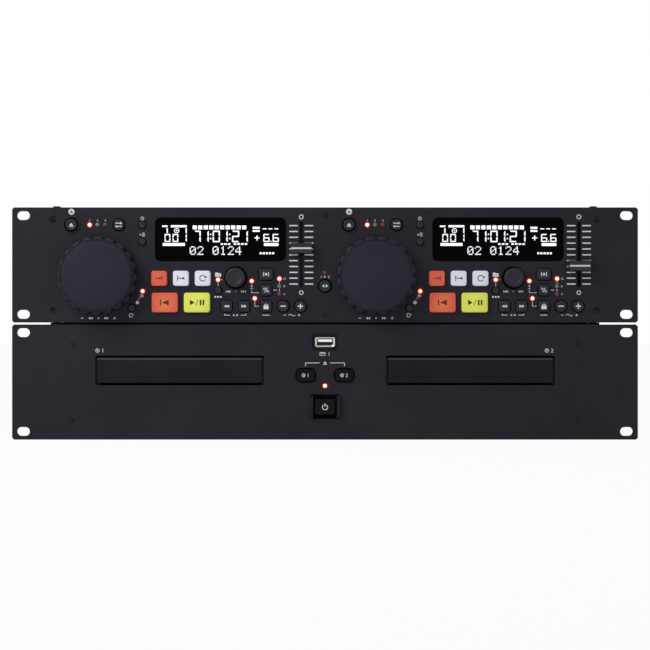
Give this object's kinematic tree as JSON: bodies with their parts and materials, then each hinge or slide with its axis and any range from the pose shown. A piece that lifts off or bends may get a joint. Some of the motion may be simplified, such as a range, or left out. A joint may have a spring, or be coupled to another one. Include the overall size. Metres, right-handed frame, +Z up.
{
  "type": "disc player",
  "caption": "Rack-mount disc player for DJs: a control unit with jog wheels, pitch faders, keys and display windows stands on a player unit with sliding disc trays.",
  "frame": {"origin": "middle of the footprint, on the surface that the player unit stands on", "axes": "+X to the user's right along the panels, -Y out of the front panels towards the user, +Z up"},
  "size_m": [0.4826, 0.275, 0.1806],
  "materials": {
    "panel_paint": "satin charcoal powder coat",
    "case_steel": "satin black paint on folded sheet",
    "loader_plastic": "moulded, matt",
    "circuit_board": "solder resist",
    "black_screw": "blackened",
    "display_window": "polished, smoked",
    "wheel_plastic": "soft touch",
    "knob_plastic": "satin",
    "fader_cap": "satin with a white line",
    "tray_plastic": "satin",
    "black_key": "satin",
    "orange_pad": "translucent, lit from behind",
    "white_pad": "translucent, lit from behind",
    "lime_pad": "translucent, lit from behind"
  },
  "bodies": {
    "player_unit": {"player_faceplate": "panel_paint", "player_base": "case_steel", "player_cover": "case_steel", "disc_loaders": "loader_plastic", "main_board": "circuit_board", "player_screws": "black_screw"},
    "control_unit": {"control_faceplate": "panel_paint", "control_chassis": "case_steel", "control_cover": "case_steel", "display_windows": "display_window", "control_board": "circuit_board", "control_screws": "black_screw"},
    "eject_button_1": {"eject_button_1": "black_key"},
    "source_button_1": {"source_button_1": "black_key"},
    "time_button_1": {"time_button_1": "black_key"},
    "play_mode_button_1": {"play_mode_button_1": "black_key"},
    "jog_mode_button_1": {"jog_mode_button_1": "black_key"},
    "folder_button_1": {"folder_button_1": "black_key"},
    "bend_minus_button_1": {"bend_minus_button_1": "black_key"},
    "bend_plus_button_1": {"bend_plus_button_1": "black_key"},
    "tap_button_1": {"tap_button_1": "black_key"},
    "pitch_range_button_1": {"pitch_range_button_1": "black_key"},
    "key_lock_button_1": {"key_lock_button_1": "black_key"},
    "search_back_button_1": {"search_back_button_1": "black_key"},
    "search_forward_button_1": {"search_forward_button_1": "black_key"},
    "loop_in_button_1": {"loop_in_button_1": "orange_pad"},
    "loop_out_button_1": {"loop_out_button_1": "white_pad"},
    "reloop_button_1": {"reloop_button_1": "white_pad"},
    "cue_button_1": {"cue_button_1": "orange_pad"},
    "play_button_1": {"play_button_1": "lime_pad"},
    "jog_wheel_1": {"jog_wheel_1": "wheel_plastic"},
    "track_knob_1": {"track_knob_1": "knob_plastic"},
    "pitch_fader_1": {"pitch_fader_1": "fader_cap"},
    "eject_button_2": {"eject_button_2": "black_key"},
    "source_button_2": {"source_button_2": "black_key"},
    "time_button_2": {"time_button_2": "black_key"},
    "play_mode_button_2": {"play_mode_button_2": "black_key"},
    "jog_mode_button_2": {"jog_mode_button_2": "black_key"},
    "folder_button_2": {"folder_button_2": "black_key"},
    "bend_minus_button_2": {"bend_minus_button_2": "black_key"},
    "bend_plus_button_2": {"bend_plus_button_2": "black_key"},
    "tap_button_2": {"tap_button_2": "black_key"},
    "pitch_range_button_2": {"pitch_range_button_2": "black_key"},
    "key_lock_button_2": {"key_lock_button_2": "black_key"},
    "search_back_button_2": {"search_back_button_2": "black_key"},
    "search_forward_button_2": {"search_forward_button_2": "black_key"},
    "loop_in_button_2": {"loop_in_button_2": "orange_pad"},
    "loop_out_button_2": {"loop_out_button_2": "white_pad"},
    "reloop_button_2": {"reloop_button_2": "white_pad"},
    "cue_button_2": {"cue_button_2": "orange_pad"},
    "play_button_2": {"play_button_2": "lime_pad"},
    "jog_wheel_2": {"jog_wheel_2": "wheel_plastic"},
    "track_knob_2": {"track_knob_2": "knob_plastic"},
    "pitch_fader_2": {"pitch_fader_2": "fader_cap"},
    "relay_button": {"relay_button": "black_key"},
    "disc_tray_1": {"disc_tray_1": "tray_plastic"},
    "open_button_1": {"open_button_1": "black_key"},
    "disc_tray_2": {"disc_tray_2": "tray_plastic"},
    "open_button_2": {"open_button_2": "black_key"},
    "power_button": {"power_button": "black_key"}
  },
  "joints": [
    {"name": "control_unit_lift", "type": "slide", "parent": "player_unit", "child": "control_unit", "axis": [0, 0, 1], "range_m": [0, 0.12]},
    {"name": "eject_button_1_press", "type": "slide", "parent": "control_unit", "child": "eject_button_1", "axis": [0, 1, 0], "range_m": [0, 0.0006], "stiffness_N_per_m": 1200},
    {"name": "source_button_1_press", "type": "slide", "parent": "control_unit", "child": "source_button_1", "axis": [0, 1, 0], "range_m": [0, 0.0006], "stiffness_N_per_m": 1200},
    {"name": "time_button_1_press", "type": "slide", "parent": "control_unit", "child": "time_button_1", "axis": [0, 1, 0], "range_m": [0, 0.0006], "stiffness_N_per_m": 1200},
    {"name": "play_mode_button_1_press", "type": "slide", "parent": "control_unit", "child": "play_mode_button_1", "axis": [0, 1, 0], "range_m": [0, 0.0006], "stiffness_N_per_m": 1200},
    {"name": "jog_mode_button_1_press", "type": "slide", "parent": "control_unit", "child": "jog_mode_button_1", "axis": [0, 1, 0], "range_m": [0, 0.0006], "stiffness_N_per_m": 1200},
    {"name": "folder_button_1_press", "type": "slide", "parent": "control_unit", "child": "folder_button_1", "axis": [0, 1, 0], "range_m": [0, 0.0006], "stiffness_N_per_m": 1200},
    {"name": "bend_minus_button_1_press", "type": "slide", "parent": "control_unit", "child": "bend_minus_button_1", "axis": [0, 1, 0], "range_m": [0, 0.0006], "stiffness_N_per_m": 1200},
    {"name": "bend_plus_button_1_press", "type": "slide", "parent": "control_unit", "child": "bend_plus_button_1", "axis": [0, 1, 0], "range_m": [0, 0.0006], "stiffness_N_per_m": 1200},
    {"name": "tap_button_1_press", "type": "slide", "parent": "control_unit", "child": "tap_button_1", "axis": [0, 1, 0], "range_m": [0, 0.0006], "stiffness_N_per_m": 1200},
    {"name": "pitch_range_button_1_press", "type": "slide", "parent": "control_unit", "child": "pitch_range_button_1", "axis": [0, 1, 0], "range_m": [0, 0.0006], "stiffness_N_per_m": 1200},
    {"name": "key_lock_button_1_press", "type": "slide", "parent": "control_unit", "child": "key_lock_button_1", "axis": [0, 1, 0], "range_m": [0, 0.0006], "stiffness_N_per_m": 1200},
    {"name": "search_back_button_1_press", "type": "slide", "parent": "control_unit", "child": "search_back_button_1", "axis": [0, 1, 0], "range_m": [0, 0.0006], "stiffness_N_per_m": 1200},
    {"name": "search_forward_button_1_press", "type": "slide", "parent": "control_unit", "child": "search_forward_button_1", "axis": [0, 1, 0], "range_m": [0, 0.0006], "stiffness_N_per_m": 1200},
    {"name": "loop_in_button_1_press", "type": "slide", "parent": "control_unit", "child": "loop_in_button_1", "axis": [0, 1, 0], "range_m": [0, 0.001], "stiffness_N_per_m": 900},
    {"name": "loop_out_button_1_press", "type": "slide", "parent": "control_unit", "child": "loop_out_button_1", "axis": [0, 1, 0], "range_m": [0, 0.001], "stiffness_N_per_m": 900},
    {"name": "reloop_button_1_press", "type": "slide", "parent": "control_unit", "child": "reloop_button_1", "axis": [0, 1, 0], "range_m": [0, 0.001], "stiffness_N_per_m": 900},
    {"name": "cue_button_1_press", "type": "slide", "parent": "control_unit", "child": "cue_button_1", "axis": [0, 1, 0], "range_m": [0, 0.001], "stiffness_N_per_m": 900},
    {"name": "play_button_1_press", "type": "slide", "parent": "control_unit", "child": "play_button_1", "axis": [0, 1, 0], "range_m": [0, 0.001], "stiffness_N_per_m": 900},
    {"name": "jog_wheel_1_spin", "type": "hinge", "parent": "control_unit", "child": "jog_wheel_1", "pos_m": [-0.1746, -0.1215, 0.1261], "axis": [0, 1, 0], "continuous": true},
    {"name": "track_knob_1_turn", "type": "hinge", "parent": "control_unit", "child": "track_knob_1", "pos_m": [-0.0688, -0.1215, 0.1248], "axis": [0, 1, 0], "continuous": true},
    {"name": "pitch_fader_1_slide", "type": "slide", "parent": "control_unit", "child": "pitch_fader_1", "axis": [0, 0, 1], "range_m": [-0.027, 0.018]},
    {"name": "eject_button_2_press", "type": "slide", "parent": "control_unit", "child": "eject_button_2", "axis": [0, 1, 0], "range_m": [0, 0.0006], "stiffness_N_per_m": 1200},
    {"name": "source_button_2_press", "type": "slide", "parent": "control_unit", "child": "source_button_2", "axis": [0, 1, 0], "range_m": [0, 0.0006], "stiffness_N_per_m": 1200},
    {"name": "time_button_2_press", "type": "slide", "parent": "control_unit", "child": "time_button_2", "axis": [0, 1, 0], "range_m": [0, 0.0006], "stiffness_N_per_m": 1200},
    {"name": "play_mode_button_2_press", "type": "slide", "parent": "control_unit", "child": "play_mode_button_2", "axis": [0, 1, 0], "range_m": [0, 0.0006], "stiffness_N_per_m": 1200},
    {"name": "jog_mode_button_2_press", "type": "slide", "parent": "control_unit", "child": "jog_mode_button_2", "axis": [0, 1, 0], "range_m": [0, 0.0006], "stiffness_N_per_m": 1200},
    {"name": "folder_button_2_press", "type": "slide", "parent": "control_unit", "child": "folder_button_2", "axis": [0, 1, 0], "range_m": [0, 0.0006], "stiffness_N_per_m": 1200},
    {"name": "bend_minus_button_2_press", "type": "slide", "parent": "control_unit", "child": "bend_minus_button_2", "axis": [0, 1, 0], "range_m": [0, 0.0006], "stiffness_N_per_m": 1200},
    {"name": "bend_plus_button_2_press", "type": "slide", "parent": "control_unit", "child": "bend_plus_button_2", "axis": [0, 1, 0], "range_m": [0, 0.0006], "stiffness_N_per_m": 1200},
    {"name": "tap_button_2_press", "type": "slide", "parent": "control_unit", "child": "tap_button_2", "axis": [0, 1, 0], "range_m": [0, 0.0006], "stiffness_N_per_m": 1200},
    {"name": "pitch_range_button_2_press", "type": "slide", "parent": "control_unit", "child": "pitch_range_button_2", "axis": [0, 1, 0], "range_m": [0, 0.0006], "stiffness_N_per_m": 1200},
    {"name": "key_lock_button_2_press", "type": "slide", "parent": "control_unit", "child": "key_lock_button_2", "axis": [0, 1, 0], "range_m": [0, 0.0006], "stiffness_N_per_m": 1200},
    {"name": "search_back_button_2_press", "type": "slide", "parent": "control_unit", "child": "search_back_button_2", "axis": [0, 1, 0], "range_m": [0, 0.0006], "stiffness_N_per_m": 1200},
    {"name": "search_forward_button_2_press", "type": "slide", "parent": "control_unit", "child": "search_forward_button_2", "axis": [0, 1, 0], "range_m": [0, 0.0006], "stiffness_N_per_m": 1200},
    {"name": "loop_in_button_2_press", "type": "slide", "parent": "control_unit", "child": "loop_in_button_2", "axis": [0, 1, 0], "range_m": [0, 0.001], "stiffness_N_per_m": 900},
    {"name": "loop_out_button_2_press", "type": "slide", "parent": "control_unit", "child": "loop_out_button_2", "axis": [0, 1, 0], "range_m": [0, 0.001], "stiffness_N_per_m": 900},
    {"name": "reloop_button_2_press", "type": "slide", "parent": "control_unit", "child": "reloop_button_2", "axis": [0, 1, 0], "range_m": [0, 0.001], "stiffness_N_per_m": 900},
    {"name": "cue_button_2_press", "type": "slide", "parent": "control_unit", "child": "cue_button_2", "axis": [0, 1, 0], "range_m": [0, 0.001], "stiffness_N_per_m": 900},
    {"name": "play_button_2_press", "type": "slide", "parent": "control_unit", "child": "play_button_2", "axis": [0, 1, 0], "range_m": [0, 0.001], "stiffness_N_per_m": 900},
    {"name": "jog_wheel_2_spin", "type": "hinge", "parent": "control_unit", "child": "jog_wheel_2", "pos_m": [0.0394, -0.1215, 0.1261], "axis": [0, 1, 0], "continuous": true},
    {"name": "track_knob_2_turn", "type": "hinge", "parent": "control_unit", "child": "track_knob_2", "pos_m": [0.1452, -0.1215, 0.1248], "axis": [0, 1, 0], "continuous": true},
    {"name": "pitch_fader_2_slide", "type": "slide", "parent": "control_unit", "child": "pitch_fader_2", "axis": [0, 0, 1], "range_m": [-0.0135, 0.0315]},
    {"name": "relay_button_press", "type": "slide", "parent": "control_unit", "child": "relay_button", "axis": [0, 1, 0], "range_m": [0, 0.0006], "stiffness_N_per_m": 1200},
    {"name": "disc_tray_1_slide", "type": "slide", "parent": "player_unit", "child": "disc_tray_1", "axis": [0, -1, 0], "range_m": [0, 0.136]},
    {"name": "open_button_1_press", "type": "slide", "parent": "player_unit", "child": "open_button_1", "axis": [0, 1, 0], "range_m": [0, 0.0006], "stiffness_N_per_m": 1200},
    {"name": "disc_tray_2_slide", "type": "slide", "parent": "player_unit", "child": "disc_tray_2", "axis": [0, -1, 0], "range_m": [0, 0.136]},
    {"name": "open_button_2_press", "type": "slide", "parent": "player_unit", "child": "open_button_2", "axis": [0, 1, 0], "range_m": [0, 0.0006], "stiffness_N_per_m": 1200},
    {"name": "power_button_press", "type": "slide", "parent": "player_unit", "child": "power_button", "axis": [0, 1, 0], "range_m": [0, 0.0025], "stiffness_N_per_m": 400}
  ]
}
